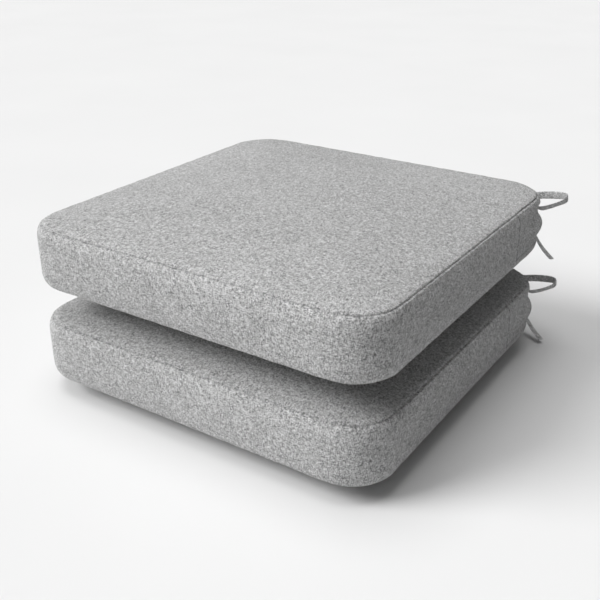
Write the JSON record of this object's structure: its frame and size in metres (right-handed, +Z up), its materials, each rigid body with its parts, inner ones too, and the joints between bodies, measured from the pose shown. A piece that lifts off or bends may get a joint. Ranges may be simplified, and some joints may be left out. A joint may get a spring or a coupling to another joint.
{
  "type": "chair seat pad pair",
  "caption": "Pair of stacked square box-edge chair seat pads with rounded corners, a foam core in a zipped woven cover, and bowed fabric ties at the back corners.",
  "frame": {"origin": "middle of the lower pad's underside, on the surface that the pair stands on", "axes": "+Z up, -Y to the front of the pads, +Y to the back with the zip and the ties, +X to the right seen from the front"},
  "size_m": [0.4896, 0.4709, 0.2299],
  "materials": {
    "cover_fabric": "heathered grey basket weave, matt",
    "tie_fabric": "folded strips of the cover cloth",
    "foam": "open-cell polyurethane foam",
    "liner_fabric": "white non-woven",
    "zip_tape": "grey woven polyester tape",
    "zip_coil": "grey nylon coil",
    "zip_metal": "nickel-plated",
    "label": "blank white satin"
  },
  "bodies": {
    "lower_pad": {"lower_foam_core": "foam", "lower_foam_liner": "liner_fabric", "lower_top_panel": "cover_fabric", "lower_bottom_panel": "cover_fabric", "lower_boxing_band": "cover_fabric", "lower_zip_band_upper": "cover_fabric", "lower_zip_band_lower": "cover_fabric", "lower_zip_tape_upper": "zip_tape", "lower_zip_tape_lower": "zip_tape", "lower_zip_coil_upper": "zip_coil", "lower_zip_coil_lower": "zip_coil", "lower_zip_stop_closed": "zip_metal", "lower_zip_stop_open": "zip_metal", "lower_care_label": "label", "lower_right_tie_knot": "tie_fabric", "lower_right_tie_outer_loop": "tie_fabric", "lower_right_tie_inner_loop": "tie_fabric", "lower_right_tie_outer_tail": "tie_fabric", "lower_right_tie_inner_tail": "tie_fabric", "lower_left_tie_knot": "tie_fabric", "lower_left_tie_outer_loop": "tie_fabric", "lower_left_tie_inner_loop": "tie_fabric", "lower_left_tie_outer_tail": "tie_fabric", "lower_left_tie_inner_tail": "tie_fabric"},
    "lower_zip_slider": {"lower_zip_slider": "zip_metal"},
    "lower_zip_pull": {"lower_zip_pull": "zip_metal"},
    "upper_pad": {"upper_foam_core": "foam", "upper_foam_liner": "liner_fabric", "upper_top_panel": "cover_fabric", "upper_bottom_panel": "cover_fabric", "upper_boxing_band": "cover_fabric", "upper_zip_band_upper": "cover_fabric", "upper_zip_band_lower": "cover_fabric", "upper_zip_tape_upper": "zip_tape", "upper_zip_tape_lower": "zip_tape", "upper_zip_coil_upper": "zip_coil", "upper_zip_coil_lower": "zip_coil", "upper_zip_stop_closed": "zip_metal", "upper_zip_stop_open": "zip_metal", "upper_care_label": "label", "upper_right_tie_knot": "tie_fabric", "upper_right_tie_outer_loop": "tie_fabric", "upper_right_tie_inner_loop": "tie_fabric", "upper_right_tie_outer_tail": "tie_fabric", "upper_right_tie_inner_tail": "tie_fabric", "upper_left_tie_knot": "tie_fabric", "upper_left_tie_outer_loop": "tie_fabric", "upper_left_tie_inner_loop": "tie_fabric", "upper_left_tie_outer_tail": "tie_fabric", "upper_left_tie_inner_tail": "tie_fabric"},
    "upper_zip_slider": {"upper_zip_slider": "zip_metal"},
    "upper_zip_pull": {"upper_zip_pull": "zip_metal"}
  },
  "joints": [
    {"name": "upper_pad_lift", "type": "slide", "parent": "lower_pad", "child": "upper_pad", "axis": [0, 0, 1], "range_m": [0, 0.3]},
    {"name": "lower_zip_travel", "type": "slide", "parent": "lower_pad", "child": "lower_zip_slider", "axis": [1, 0, 0], "range_m": [0, 0.275]},
    {"name": "lower_zip_pull_swing", "type": "hinge", "parent": "lower_zip_slider", "child": "lower_zip_pull", "pos_m": [-0.1397, 0.2336, 0.0422], "axis": [0, 0, -1], "range_deg": [0, 170]},
    {"name": "upper_zip_travel", "type": "slide", "parent": "upper_pad", "child": "upper_zip_slider", "axis": [1, 0, 0], "range_m": [0, 0.275]},
    {"name": "upper_zip_pull_swing", "type": "hinge", "parent": "upper_zip_slider", "child": "upper_zip_pull", "pos_m": [-0.1397, 0.2336, 0.1573], "axis": [0, 0, -1], "range_deg": [0, 170]}
  ]
}
